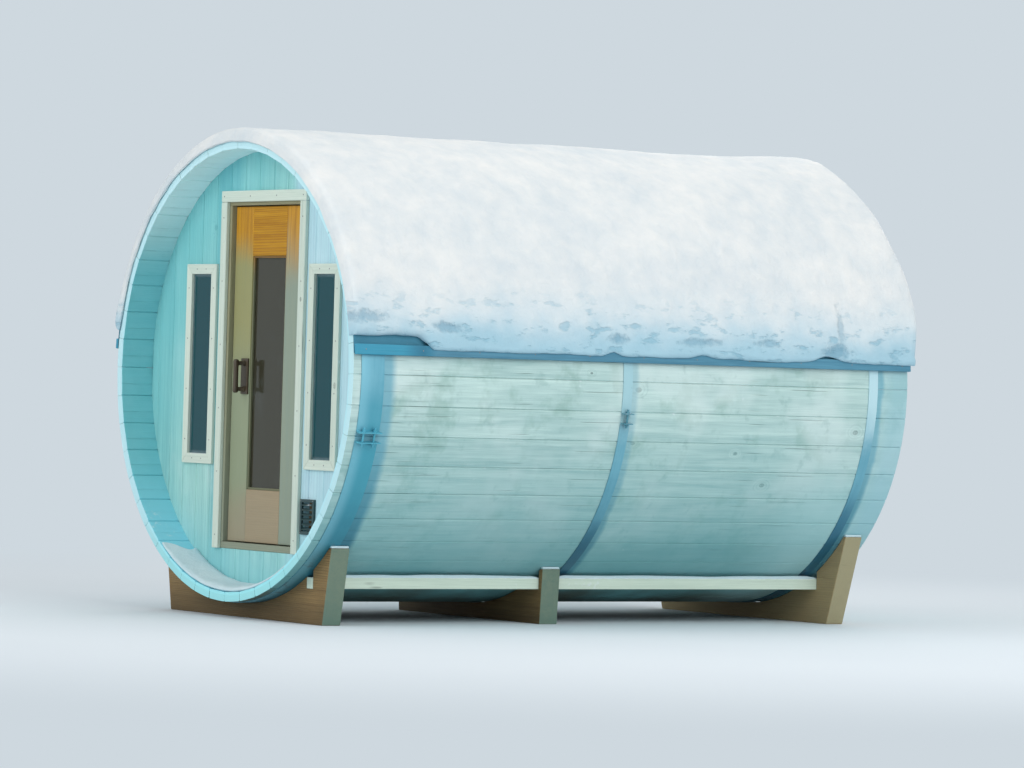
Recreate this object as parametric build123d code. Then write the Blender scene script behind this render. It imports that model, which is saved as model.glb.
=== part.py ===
from build123d import *
import math
import os

# Barrel sauna. Millimetres, +Z up. The origin lies on the ground under the middle of the
# barrel, whose axis runs along Y. The door is in the end wall at -Y, and +X is to the right
# of a person who faces that door.

# Barrel shell
barrel_radius = 1025.0
barrel_length = 3000.0
stave_thickness = 42.0
segment_count = 12
staves_per_segment = 4
first_joint_angle = 15.0
barrel_lift = 70.0

# End walls, set into grooves in the staves
wall_thickness = 42.0
front_recess = 160.0
rear_recess = 150.0
groove_depth = 10.0
groove_fit = 0.2

# Door leaf
leaf_width = 590.0
leaf_thickness = 40.0
leaf_setback = 22.0
stile_width = 151.0
top_rail_height = 220.0
bottom_rail_height = 235.0
door_glass_thickness = 8.0
door_glass_groove = 12.0
door_gap = 5.0

# Door frame
jamb_thickness = 30.0
frame_depth = 90.0
stop_depth = 15.0
casing_width = 50.0
casing_thickness = 18.0
casing_reveal = 15.0
casing_corner_clearance = 97.0

# Hinges and handles
hinge_count = 3
hinge_height = 90.0
hinge_end_distance = 190.0
knuckle_radius = 7.0
knuckle_clearance = 0.5
hinge_pin_radius = 4.0
hinge_running_fit = 0.3
hinge_plate_thickness = 2.0
hinge_flap_width = 42.0
hinge_face_gap = 1.0
handle_length = 150.0
handle_radius = 13.0
handle_post_radius = 11.0
handle_post_inset = 17.0
handle_stand_off = 38.0
handle_plate_width = 60.0
handle_plate_height = 160.0
handle_plate_thickness = 8.0
handle_edge_distance = 118.0
handle_above_floor = 745.0

# Windows and vent
window_width = 172.0
window_height = 812.0
window_from_axis = 530.0
window_above_axis = 26.0
window_glass_thickness = 8.0
window_rebate = 12.0
window_trim_width = 45.0
window_trim_thickness = 15.0
vent_width = 115.0
vent_height = 155.0
vent_from_casing = 12.0
vent_above_floor = 138.0
vent_border = 14.0
vent_thickness = 12.0
vent_slat_count = 6
vent_slat_thickness = 5.0

# Hoops
hoop_thickness = 2.0
hoop_fit = 0.3
front_hoop_width = 115.0
hoop_width = 50.0
front_hoop_from_rim = 98.0
middle_hoop_from_rim = 1430.0
rear_hoop_from_rim = 200.0
front_hoop_joint_angle = 345.0
middle_hoop_joint_angle = 351.0
rear_hoop_joint_angle = 215.0
hoop_joint_gap = 40.0
hoop_ear_height = 30.0
hoop_ear_thickness = 4.0
hoop_bolt_radius = 5.0
hoop_bolt_overhang = 18.0
hoop_nut_radius = 9.5
hoop_nut_thickness = 8.0
hoop_bolt_pitch = 55.0

# Roof covering
covering_thickness = 5.0
covering_edge_angle = 5.0
batten_height = 45.0
batten_thickness = 16.0
batten_drip = 6.0

# Snow settled on the roof, deepest along the top
snow_top_depth = 44.0
snow_depth_over_batten = 15.0
snow_edge_angle = 6.2
snow_overhang = 15.0
snow_fit = 0.3
snow_edge_rounding = 10.0
snow_end_rounding = 8.0

# Cradles and rails
cradle_thickness = 95.0
cradle_shoulder = 20.0
outer_cradle_half_top = 715.0
outer_cradle_half_bottom = 655.0
middle_cradle_half_top = 600.0
middle_cradle_half_bottom = 585.0
front_cradle_from_rim = 155.0
middle_cradle_from_rim = 1340.0
rear_cradle_from_rim = 100.0
rail_height = 50.0
rail_width = 50.0
rail_from_axis = 545.0
rail_clearance = 3.0

# Floor, whose height is taken from the inside of the lowest staves
floor_height = 211.0
deck_thickness = 28.0
deck_edge_gap = 3.0
bearer_thickness = 45.0
bearer_depth = 100.0
bearer_count = 3
bearer_end_distance = 320.0

# Values that follow from the sizes above
axis_height = barrel_lift + barrel_radius
front_rim = -barrel_length / 2
rear_rim = barrel_length / 2
stave_angle = 360.0 / (segment_count * staves_per_segment)
half_stave = math.radians(stave_angle / 2)
inner_apothem = barrel_radius * math.cos(half_stave) - stave_thickness
inner_vertex_radius = inner_apothem / math.cos(half_stave)
groove_radius = inner_apothem + groove_depth

front_wall_outer = front_rim + front_recess
front_wall_inner = front_wall_outer + wall_thickness
rear_wall_outer = rear_rim - rear_recess
rear_wall_inner = rear_wall_outer - wall_thickness

leaf_half = leaf_width / 2
jamb_face = leaf_half + door_gap
doorway_half = jamb_face + jamb_thickness
casing_inner = jamb_face + casing_reveal
casing_outer = casing_inner + casing_width
casing_corner_radius = inner_apothem - casing_corner_clearance
casing_top = axis_height + math.sqrt(casing_corner_radius ** 2 - casing_outer ** 2)
casing_head = casing_top - casing_width
head_face = casing_head - casing_reveal
doorway_top = head_face + jamb_thickness
threshold_top = axis_height - inner_apothem + floor_height
doorway_bottom = threshold_top - jamb_thickness

leaf_bottom = threshold_top + door_gap
leaf_top = head_face - door_gap
leaf_outer = front_wall_outer + leaf_setback
leaf_inner = leaf_outer + leaf_thickness
leaf_middle = (leaf_outer + leaf_inner) / 2
glass_half = leaf_half - stile_width
glass_bottom = leaf_bottom + bottom_rail_height
glass_top = leaf_top - top_rail_height

frame_inner = front_wall_outer + frame_depth
stop_face = leaf_inner + door_gap

pin_x = jamb_face - knuckle_radius - knuckle_clearance
pin_y = leaf_outer - hinge_face_gap - knuckle_radius

hoop_inner = barrel_radius + hoop_fit
hoop_outer = hoop_inner + hoop_thickness
covering_inner = hoop_outer + hoop_fit
covering_outer = covering_inner + covering_thickness
saddle_radius = hoop_outer + hoop_fit


def block(x0, x1, y0, y1, z0, z1):
    """A rectangular solid between two corners."""
    solid = Box(x1 - x0, y1 - y0, z1 - z0, align=(Align.MIN, Align.MIN, Align.MIN))
    return Pos(x0, y0, z0) * solid


def along_y(profile, y0, y1):
    """Extrude a profile, drawn in x and z, from y0 to y1."""
    return extrude(Plane.XZ.offset(-y0) * profile, amount=y0 - y1)


def round_profile(radius):
    """A circle about the barrel's axis."""
    return Pos(0, axis_height) * Circle(radius)


def sector_profile(inner, outer, start, end):
    """A slice of a ring about the barrel's axis, between two angles from +X."""
    outside = CenterArc((0, axis_height), outer, start, end - start)
    inside = CenterArc((0, axis_height), inner, start, end - start)
    first_side = Line(inside @ 0, outside @ 0)
    last_side = Line(outside @ 1, inside @ 1)
    return make_face([outside, last_side, inside, first_side])


def ring_point(radius, angle):
    """A point at a radius and an angle in degrees about the barrel's axis, in x and z."""
    turn = math.radians(angle)
    return (radius * math.cos(turn), axis_height + radius * math.sin(turn))


def from_axis(x, z):
    """How far a point is from the barrel's axis."""
    return math.hypot(x, z - axis_height)


def stave_segment(index):
    """Staves side by side, each flat inside and outside, grooved for both end walls."""
    start = first_joint_angle + index * staves_per_segment * stave_angle
    angles = [start + k * stave_angle for k in range(staves_per_segment + 1)]
    outside = [ring_point(barrel_radius, a) for a in angles]
    inside = [ring_point(inner_vertex_radius, a) for a in reversed(angles)]
    segment = along_y(make_face(Polyline(*outside, *inside, close=True)), front_rim, rear_rim)
    segment -= along_y(round_profile(groove_radius), front_wall_outer, front_wall_inner)
    segment -= along_y(round_profile(groove_radius), rear_wall_inner, rear_wall_outer)
    return segment


def end_wall(y0, y1):
    """A round wall that seats in the staves' groove."""
    return along_y(round_profile(groove_radius - groove_fit), y0, y1)


def window_centre(side):
    """The middle of a window in x and z; side is -1 on the left and 1 on the right."""
    return (side * window_from_axis, axis_height + window_above_axis)


def upright_block(centre, width, height, y0, y1):
    """A block whose face in x and z is centred on a point."""
    x, z = centre
    return block(x - width / 2, x + width / 2, y0, y1, z - height / 2, z + height / 2)


def vent_centre():
    """The middle of the vent in x and z."""
    x = casing_outer + vent_from_casing + vent_width / 2
    return (x, threshold_top + vent_above_floor)


def front_wall_side(side):
    """The front wall beside the doorway, with its window cut through and rebated."""
    reach = groove_radius + 1
    x0, x1 = sorted((side * doorway_half, side * reach))
    piece = end_wall(front_wall_outer, front_wall_inner)
    piece &= block(x0, x1, front_wall_outer, front_wall_inner, 0, axis_height + reach)
    centre = window_centre(side)
    piece -= upright_block(centre, window_width, window_height, front_wall_outer, front_wall_inner)
    rebate_end = front_wall_outer + window_glass_thickness
    rebate_width = window_width + 2 * window_rebate
    rebate_height = window_height + 2 * window_rebate
    piece -= upright_block(centre, rebate_width, rebate_height, front_wall_outer, rebate_end)
    return piece


def front_wall_right_piece():
    """The right side of the front wall, with the vent's hole."""
    hole_width = vent_width - 2 * vent_border
    hole_height = vent_height - 2 * vent_border
    hole = upright_block(vent_centre(), hole_width, hole_height, front_wall_outer, front_wall_inner)
    return front_wall_side(1) - hole


def front_wall_between(z0, z1):
    """The front wall over or under the doorway."""
    wall = end_wall(front_wall_outer, front_wall_inner)
    return wall & block(-doorway_half, doorway_half, front_wall_outer, front_wall_inner, z0, z1)


def window_pane(side):
    """A pane that fills the rebate of its window."""
    width = window_width + 2 * window_rebate
    height = window_height + 2 * window_rebate
    y1 = front_wall_outer + window_glass_thickness
    return upright_block(window_centre(side), width, height, front_wall_outer, y1)


def window_trim(side):
    """Four boards in one, round the window on the wall's outer face."""
    centre = window_centre(side)
    y0 = front_wall_outer - window_trim_thickness
    width = window_width + 2 * window_trim_width
    height = window_height + 2 * window_trim_width
    trim = upright_block(centre, width, height, y0, front_wall_outer)
    return trim - upright_block(centre, window_width, window_height, y0, front_wall_outer)


def vent_grille_piece():
    """A bordered grille with level slats on the wall's outer face."""
    centre = vent_centre()
    y0 = front_wall_outer - vent_thickness
    inner_width = vent_width - 2 * vent_border
    inner_height = vent_height - 2 * vent_border
    grille = upright_block(centre, vent_width, vent_height, y0, front_wall_outer)
    grille -= upright_block(centre, inner_width, inner_height, y0, front_wall_outer)
    pitch = inner_height / (vent_slat_count + 1)
    slat_inset = vent_thickness / 4
    for k in range(vent_slat_count):
        z = centre[1] - inner_height / 2 + (k + 1) * pitch
        slat_centre = (centre[0], z)
        grille += upright_block(slat_centre, inner_width, vent_slat_thickness,
                                y0 + slat_inset, front_wall_outer)
    return grille


def door_jamb(side):
    """An upright of the door frame with the stop that the leaf closes towards."""
    x0, x1 = sorted((side * jamb_face, side * doorway_half))
    jamb = block(x0, x1, front_wall_outer, frame_inner, threshold_top, head_face)
    s0, s1 = sorted((side * (jamb_face - stop_depth), side * jamb_face))
    return jamb + block(s0, s1, stop_face, frame_inner, threshold_top, head_face)


def door_head_piece():
    """The top of the door frame with its stop between those of the jambs."""
    head = block(-doorway_half, doorway_half, front_wall_outer, frame_inner, head_face, doorway_top)
    stop_half = jamb_face - stop_depth
    return head + block(-stop_half, stop_half, stop_face, frame_inner,
                        head_face - stop_depth, head_face)


def door_threshold_piece():
    """The sill of the door frame, level with the floor."""
    return block(-doorway_half, doorway_half, front_wall_outer, frame_inner,
                 doorway_bottom, threshold_top)


def door_casing_piece():
    """Flat boards round the door frame on the wall's outer face."""
    y0 = front_wall_outer - casing_thickness
    casing = block(-casing_outer, casing_outer, y0, front_wall_outer, doorway_bottom, casing_top)
    return casing - block(-casing_inner, casing_inner, y0, front_wall_outer,
                          doorway_bottom, casing_head)


def door_glass_piece():
    """The long pane, held in a groove of the stiles and rails."""
    half = glass_half + door_glass_groove
    y0 = leaf_middle - door_glass_thickness / 2
    y1 = leaf_middle + door_glass_thickness / 2
    return block(-half, half, y0, y1, glass_bottom - door_glass_groove,
                 glass_top + door_glass_groove)


def door_stile(side):
    """A full height upright of the leaf."""
    x0, x1 = sorted((side * glass_half, side * leaf_half))
    return block(x0, x1, leaf_outer, leaf_inner, leaf_bottom, leaf_top) - door_glass_piece()


def door_rail(z0, z1):
    """A level piece of the leaf between the stiles."""
    return block(-glass_half, glass_half, leaf_outer, leaf_inner, z0, z1) - door_glass_piece()


def hinge_centres():
    """Heights of the hinges, evenly spaced between the two ends of the leaf."""
    lowest = leaf_bottom + hinge_end_distance
    highest = leaf_top - hinge_end_distance
    step = (highest - lowest) / (hinge_count - 1)
    return [lowest + k * step for k in range(hinge_count)]


def upright_cylinder(x, y, radius, z0, z1):
    """A cylinder that stands on z0."""
    solid = Cylinder(radius, z1 - z0, align=(Align.CENTER, Align.CENTER, Align.MIN))
    return Pos(x, y, z0) * solid


def hinge_frame_half(z):
    """The fixed half of a hinge: two knuckles and their pin, each knuckle with a plate."""
    middle_half = hinge_height / 6
    end_half = hinge_height / 2
    plate_x0 = jamb_face - hinge_plate_thickness
    plate_y0 = front_wall_outer + hinge_plate_thickness
    half = upright_cylinder(pin_x, pin_y, hinge_pin_radius, z - end_half, z + end_half)
    for z0, z1 in ((z - end_half, z - middle_half - knuckle_clearance),
                   (z + middle_half + knuckle_clearance, z + end_half)):
        half += upright_cylinder(pin_x, pin_y, knuckle_radius, z0, z1)
        half += block(plate_x0, jamb_face, plate_y0, pin_y + knuckle_radius, z0, z1)
    return half


def hinge_door_half(z):
    """The moving half of a hinge: the middle knuckle and its flap on the leaf's face."""
    middle_half = hinge_height / 6
    end_half = hinge_height / 2
    flap_y0 = leaf_outer - hinge_plate_thickness
    flap_x0 = leaf_half - hinge_flap_width
    flap_x1 = pin_x - knuckle_radius - knuckle_clearance
    half = upright_cylinder(pin_x, pin_y, knuckle_radius, z - middle_half, z + middle_half)
    half += block(flap_x1, pin_x, flap_y0, leaf_outer, z - middle_half, z + middle_half)
    half += block(flap_x0, flap_x1, flap_y0, leaf_outer, z - end_half, z + end_half)
    bore = upright_cylinder(pin_x, pin_y, hinge_pin_radius + hinge_running_fit,
                            z - end_half, z + end_half)
    return half - bore


def handle(face, outward):
    """A round pull on two posts and a plate; outward is the way out of the leaf, -1 or 1."""
    x = -leaf_half + handle_edge_distance
    z = threshold_top + handle_above_floor
    plate_y0, plate_y1 = sorted((face, face + outward * handle_plate_thickness))
    plate = upright_block((x, z), handle_plate_width, handle_plate_height, plate_y0, plate_y1)
    grip_y = face + outward * (handle_stand_off + handle_radius)
    grip = upright_cylinder(x, grip_y, handle_radius, z - handle_length / 2, z + handle_length / 2)
    grip = fillet(grip.edges(), handle_radius / 3)
    post_spread = handle_length / 2 - handle_post_inset
    y0, y1 = sorted((face, grip_y))
    for post_z in (z - post_spread, z + post_spread):
        post_profile = Pos(x, post_z) * Circle(handle_post_radius)
        grip += along_y(post_profile, y0, y1)
    return plate + grip


def hoop_bolt(y, joint_angle):
    """A bolt across the gap of a hoop, with a nut outside each ear."""
    turn = math.radians(joint_angle)
    tangent = (-math.sin(turn), 0, math.cos(turn))
    x, z = ring_point(hoop_inner + hoop_ear_height / 2, joint_angle)
    place = Plane(origin=(x, y, z), z_dir=tangent)
    nut_face = hoop_joint_gap / 2 + hoop_ear_thickness
    bolt = place * Cylinder(hoop_bolt_radius, 2 * (nut_face + hoop_bolt_overhang))
    for side in (-1, 1):
        nut = extrude(RegularPolygon(hoop_nut_radius, 6), amount=side * hoop_nut_thickness)
        bolt += place * (Pos(0, 0, side * nut_face) * nut)
    return bolt


def hoop(centre, width, joint_angle):
    """A steel band round the staves, its two ends turned out as ears and bolted together."""
    joint = Pos(0, axis_height) * Rot(0, 0, joint_angle)
    profile = round_profile(hoop_outer) - round_profile(hoop_inner)
    profile -= joint * (Pos(hoop_outer, 0) * Rectangle(hoop_ear_height, hoop_joint_gap))
    ear = Rectangle(hoop_ear_height, hoop_ear_thickness)
    for side in (-1, 1):
        across = side * (hoop_joint_gap + hoop_ear_thickness) / 2
        profile += joint * (Pos(hoop_inner + hoop_ear_height / 2, across) * ear)
    band = along_y(profile, centre - width / 2, centre + width / 2)
    bolts = max(1, int(width // hoop_bolt_pitch))
    for k in range(bolts):
        band += hoop_bolt(centre + (k - (bolts - 1) / 2) * hoop_bolt_pitch, joint_angle)
    return band


def roof_covering_piece():
    """The covering bent over the upper staves and the hoops."""
    profile = sector_profile(covering_inner, covering_outer,
                             covering_edge_angle, 180 - covering_edge_angle)
    return along_y(profile, front_rim, rear_rim)


def batten_profile(side, room=0.0):
    """The section of a board at the covering's lower edge, lapping a little below it."""
    lap = batten_height / 2 - batten_drip
    tilt = covering_edge_angle + math.degrees(lap / covering_outer)
    board = Rectangle(batten_thickness + 2 * room, batten_height + 2 * room)
    board = Pos(covering_outer + batten_thickness / 2, 0) * board
    angle = tilt if side > 0 else 180 - tilt
    return Pos(0, axis_height) * (Rot(0, 0, angle) * board)


def roof_edge_batten(side):
    """A board along one lower edge of the covering."""
    return along_y(batten_profile(side), front_rim, rear_rim)


def roof_snow_piece():
    """Snow over the covering and the upper part of its edge boards, rounded at its rim."""
    flank = covering_outer + batten_thickness + snow_depth_over_batten
    rise = covering_outer + snow_top_depth - flank
    profile = Pos(0, axis_height + rise) * Circle(flank)
    profile &= sector_profile(covering_outer + snow_fit, flank + 2 * rise,
                              snow_edge_angle, 180 - snow_edge_angle)
    for side in (-1, 1):
        profile -= batten_profile(side, snow_fit)
    corners = sorted(profile.vertices(), key=lambda corner: from_axis(corner.X, corner.Y))
    profile = fillet(corners[-2:], snow_edge_rounding)
    snow = along_y(profile, front_rim - snow_overhang, rear_rim + snow_overhang)
    reach = flank - snow_edge_rounding / 2
    end_arcs = [arc for arc in snow.edges().filter_by(GeomType.CIRCLE)
                if from_axis((arc @ 0.5).X, (arc @ 0.5).Z) > reach]
    return fillet(end_arcs, snow_end_rounding)


def rail(side):
    """A timber under the barrel that ties the cradles together."""
    inner_edge = rail_from_axis - rail_width / 2
    top = axis_height - math.sqrt(saddle_radius ** 2 - inner_edge ** 2) - rail_clearance
    x0, x1 = sorted((side * inner_edge, side * (inner_edge + rail_width)))
    y0 = front_rim + front_cradle_from_rim - cradle_thickness / 2
    y1 = rear_rim - rear_cradle_from_rim + cradle_thickness / 2
    return block(x0, x1, y0, y1, top - rail_height, top)


def cradle(centre, half_top, half_bottom):
    """A cross timber hollowed to the barrel, notched for the rails, with slanted ends."""
    shoulder_x = half_top - cradle_shoulder
    top = axis_height - math.sqrt(saddle_radius ** 2 - shoulder_x ** 2)
    outline = Polyline((-half_bottom, 0), (half_bottom, 0), (half_top, top), (-half_top, top),
                       close=True)
    y0 = centre - cradle_thickness / 2
    y1 = centre + cradle_thickness / 2
    timber = along_y(make_face(outline), y0, y1)
    timber -= along_y(round_profile(saddle_radius), y0, y1)
    for side in (-1, 1):
        notch = rail(side).bounding_box()
        timber -= block(notch.min.X, notch.max.X, y0, y1, notch.min.Z, axis_height)
    return timber


def floor_deck_piece():
    """The floor inside, level with the threshold and cut round the door frame."""
    bottom = threshold_top - deck_thickness
    half = math.sqrt(inner_apothem ** 2 - (axis_height - bottom) ** 2) - deck_edge_gap
    deck = block(-half, half, front_wall_inner, rear_wall_inner, bottom, threshold_top)
    return deck - block(-doorway_half, doorway_half, front_wall_inner, frame_inner,
                        bottom, threshold_top)


def floor_bearer(index):
    """A joist under the floor whose ends rest on the staves."""
    top = threshold_top - deck_thickness
    first = front_wall_inner + bearer_end_distance
    last = rear_wall_inner - bearer_end_distance
    centre = first + index * (last - first) / (bearer_count - 1)
    y0 = centre - bearer_thickness / 2
    y1 = centre + bearer_thickness / 2
    joist = block(-inner_apothem, inner_apothem, y0, y1, top - bearer_depth, top)
    return joist & along_y(round_profile(inner_apothem), y0, y1)


def group(pieces):
    """Pieces that don't touch each other, kept in one node."""
    return Compound(children=list(pieces))


nodes = {}
for number in range(segment_count):
    nodes[f"stave_wall_{number + 1:02d}"] = stave_segment(number)

nodes["front_wall_left"] = front_wall_side(-1)
nodes["front_wall_right"] = front_wall_right_piece()
nodes["front_wall_over_door"] = front_wall_between(doorway_top, axis_height + groove_radius)
nodes["front_wall_below_door"] = front_wall_between(0, doorway_bottom)
nodes["rear_wall"] = end_wall(rear_wall_inner, rear_wall_outer)
nodes["window_glass"] = group(window_pane(side) for side in (-1, 1))
nodes["window_trims"] = group(window_trim(side) for side in (-1, 1))
nodes["vent_grille"] = vent_grille_piece()

nodes["door_jamb_left"] = door_jamb(-1)
nodes["door_jamb_right"] = door_jamb(1)
nodes["door_head"] = door_head_piece()
nodes["door_threshold"] = door_threshold_piece()
nodes["door_casing"] = door_casing_piece()
nodes["hinge_frame_plates"] = group(hinge_frame_half(z) for z in hinge_centres())

nodes["door_stile_left"] = door_stile(-1)
nodes["door_stile_right"] = door_stile(1)
nodes["door_top_rail"] = door_rail(glass_top, leaf_top)
nodes["door_bottom_rail"] = door_rail(leaf_bottom, glass_bottom)
nodes["door_glass"] = door_glass_piece()
nodes["hinge_door_plates"] = group(hinge_door_half(z) for z in hinge_centres())
nodes["door_handles"] = group([handle(leaf_outer, -1), handle(leaf_inner, 1)])

nodes["roof_covering"] = roof_covering_piece()
nodes["roof_edge_battens"] = group(roof_edge_batten(side) for side in (-1, 1))
nodes["roof_snow"] = roof_snow_piece()
nodes["hoop_front"] = hoop(front_rim + front_hoop_from_rim, front_hoop_width,
                           front_hoop_joint_angle)
nodes["hoop_middle"] = hoop(front_rim + middle_hoop_from_rim, hoop_width,
                            middle_hoop_joint_angle)
nodes["hoop_rear"] = hoop(rear_rim - rear_hoop_from_rim, hoop_width, rear_hoop_joint_angle)

nodes["cradle_front"] = cradle(front_rim + front_cradle_from_rim,
                               outer_cradle_half_top, outer_cradle_half_bottom)
nodes["cradle_middle"] = cradle(front_rim + middle_cradle_from_rim,
                                middle_cradle_half_top, middle_cradle_half_bottom)
nodes["cradle_rear"] = cradle(rear_rim - rear_cradle_from_rim,
                              outer_cradle_half_top, outer_cradle_half_bottom)
nodes["rail_left"] = rail(-1)
nodes["rail_right"] = rail(1)

nodes["floor_deck"] = floor_deck_piece()
nodes["floor_bearers"] = group(floor_bearer(k) for k in range(bearer_count))

os.makedirs("parts", exist_ok=True)
for name, shape in nodes.items():
    export_step(shape, f"parts/{name}.step")
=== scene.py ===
import math
import random

import bmesh
import bpy
from mathutils import Matrix, Vector, noise


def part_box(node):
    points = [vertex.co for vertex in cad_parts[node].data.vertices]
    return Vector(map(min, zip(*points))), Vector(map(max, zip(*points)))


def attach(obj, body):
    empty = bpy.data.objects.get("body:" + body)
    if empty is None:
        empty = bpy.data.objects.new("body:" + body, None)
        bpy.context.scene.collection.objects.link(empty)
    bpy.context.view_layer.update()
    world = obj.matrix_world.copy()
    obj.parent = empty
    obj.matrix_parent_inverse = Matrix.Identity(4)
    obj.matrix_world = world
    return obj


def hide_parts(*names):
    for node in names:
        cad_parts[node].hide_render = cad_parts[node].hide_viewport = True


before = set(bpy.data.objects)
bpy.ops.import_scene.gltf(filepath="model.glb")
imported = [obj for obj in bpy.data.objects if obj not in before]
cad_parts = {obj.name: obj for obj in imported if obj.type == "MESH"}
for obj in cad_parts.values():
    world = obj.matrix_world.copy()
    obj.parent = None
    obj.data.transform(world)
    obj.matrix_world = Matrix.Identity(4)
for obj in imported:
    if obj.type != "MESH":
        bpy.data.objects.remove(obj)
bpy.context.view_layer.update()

# Barrel sauna in snow. Metres. The barrel's axis runs along Y, with the door at -Y.

# Sizes that repeat inside one piece of the frame
segment_count = 12
staves_per_segment = 4
first_joint_angle = 15.0
stave_thickness = 0.042
stave_crown = 0.0012
stave_end_play = 0.0015
joint_gap = 0.0006
joint_vee = 0.004
wall_board_width = 0.1225
narrowest_board = 0.02
wall_end_gap = 0.002
wall_seat = 0.001
window_width = 0.172
window_height = 0.812
window_lining = 0.012
vent_border = 0.014
vent_slats = 6
vent_slat_tilt = 38.0
vent_slat_thickness = 0.0032
leaf_gap = 0.005
casing_width = 0.050
glazing_bead = 0.010
glazing_setback = 0.005
glazing_gap = 0.0003
hinge_height = 0.090
hinge_flap_width = 0.042
hinge_flap_depth = 0.0137
nail_seat = 0.0003
floor_boards_in_doorway = 7
floor_boards_beside = 3
floor_board_gap = 0.004
floor_end_gap = 0.001
joist_thickness = 0.045
joist_gap = 0.0005
edge_ease = 0.003
fine_ease = 0.002
cradle_shoulder = 0.020
cradle_slants = {"cradle_front": 0.060, "cradle_middle": 0.015, "cradle_rear": 0.060}
cradle_horns = {"cradle_front": 0.0, "cradle_middle": 0.0, "cradle_rear": 0.070}
handle_grip_radius = 0.013
handle_grip_length = 0.150
handle_post_inset = 0.017
handle_plate_thickness = 0.008
roof_edge_angle = 5.0
felt_thickness = 0.0028
felt_lap = 0.05
batten_thickness = 0.016
batten_height = 0.045
batten_top_angle = 7.3
snow_lip_width = 0.040

# Sizes and places that the frame gives
shell_boxes = [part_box(f"stave_wall_{k + 1:02d}") for k in range(segment_count)]
barrel_radius = max(high.x for low, high in shell_boxes)
front_rim = min(low.y for low, high in shell_boxes)
rear_rim = max(high.y for low, high in shell_boxes)
axis_z = (max(high.z for low, high in shell_boxes) + min(low.z for low, high in shell_boxes)) / 2
stave_angle = 360.0 / (segment_count * staves_per_segment)
half_stave = math.radians(stave_angle / 2)
outer_apothem = barrel_radius * math.cos(half_stave)
inner_apothem = outer_apothem - stave_thickness

front_wall = (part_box("front_wall_left")[0].y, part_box("front_wall_left")[1].y)
rear_wall = (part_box("rear_wall")[0].y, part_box("rear_wall")[1].y)
doorway_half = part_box("front_wall_over_door")[1].x
doorway_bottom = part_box("front_wall_below_door")[1].z
doorway_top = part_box("front_wall_over_door")[0].z
glass_low, glass_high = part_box("window_glass")
trim_low, trim_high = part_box("window_trims")
trim_width = (trim_high.z - trim_low.z - window_height) / 2
window_centre_x = trim_high.x - trim_width - window_width / 2
window_centre_z = (trim_low.z + trim_high.z) / 2
vent_low, vent_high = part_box("vent_grille")
vent_rectangle = (vent_low.x + vent_border, vent_high.x - vent_border,
                  vent_low.z + vent_border, vent_high.z - vent_border)
covering_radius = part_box("roof_covering")[1].z - axis_z
snow_low, snow_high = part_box("roof_snow")
snow_overhang = front_rim - snow_low.y
batten_low, batten_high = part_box("roof_edge_battens")
batten_outer = math.hypot(batten_high.x, batten_low.z - axis_z)
snow_flank_radius = batten_outer + 0.015
snow_crest_radius = snow_high.z - axis_z
hoop_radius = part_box("hoop_rear")[1].x
saddle_radius = hoop_radius + 0.0003

# Grain: the direction along a board, and the one across its face
upright = ((0, 0, 1), (1, 0, 0))
upright_deep = ((0, 0, 1), (0, 1, 0))
level = ((1, 0, 0), (0, 0, 1))
level_deep = ((1, 0, 0), (0, 1, 0))
lengthwise = ((0, 1, 0), (1, 0, 0))

# Colours are written as screen values, 0 to 255
FROST = (226, 236, 240)
INSIDE_PALE = (205, 176, 132)
INSIDE_DEEP = (158, 118, 74)
BACKDROP = (206, 216, 223)

# Dark blue strips on the staves behind each band: the band, how far the strip reaches and how strong it is
band_strips = (("hoop_front", 0.075, 0.80), ("hoop_middle", 0.045, 0.44), ("hoop_rear", 0.045, 0.70))

# Marks where the crust has broken by the right eaves: distance from the front rim, height above the
# eaves, half length, half height and strength
snow_scars = (
    (0.05, 0.135, 0.10, 0.022, 0.50), (0.46, 0.100, 0.06, 0.018, 0.60), (1.36, 0.075, 0.045, 0.022, 0.65),
    (1.80, 0.070, 0.090, 0.018, 0.50), (2.19, 0.078, 0.060, 0.016, 0.45), (2.57, 0.050, 0.070, 0.035, 0.75),
    (2.60, 0.150, 0.018, 0.090, 0.40))


def colour(*tint):
    """A colour from its screen values as the shader's linear numbers."""
    shares = [value / 255 for value in tint]
    return (*[s / 12.92 if s <= 0.04045 else ((s + 0.055) / 1.055) ** 2.4 for s in shares], 1.0)


def sign(operation, swapped=False):
    """An arithmetic sign that works between numbers of a shader."""
    def result(self, other):
        first, second = (other, self) if swapped else (self, other)
        return self.graph.math(operation, first, second)
    return result


class Number:
    """A number worked out by shader nodes, which can be written in a formula."""

    def __init__(self, graph, socket):
        self.graph = graph
        self.socket = socket

    __add__ = sign("ADD")
    __radd__ = sign("ADD", True)
    __sub__ = sign("SUBTRACT")
    __rsub__ = sign("SUBTRACT", True)
    __mul__ = sign("MULTIPLY")
    __rmul__ = sign("MULTIPLY", True)
    __truediv__ = sign("DIVIDE")
    __pow__ = sign("POWER")


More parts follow.
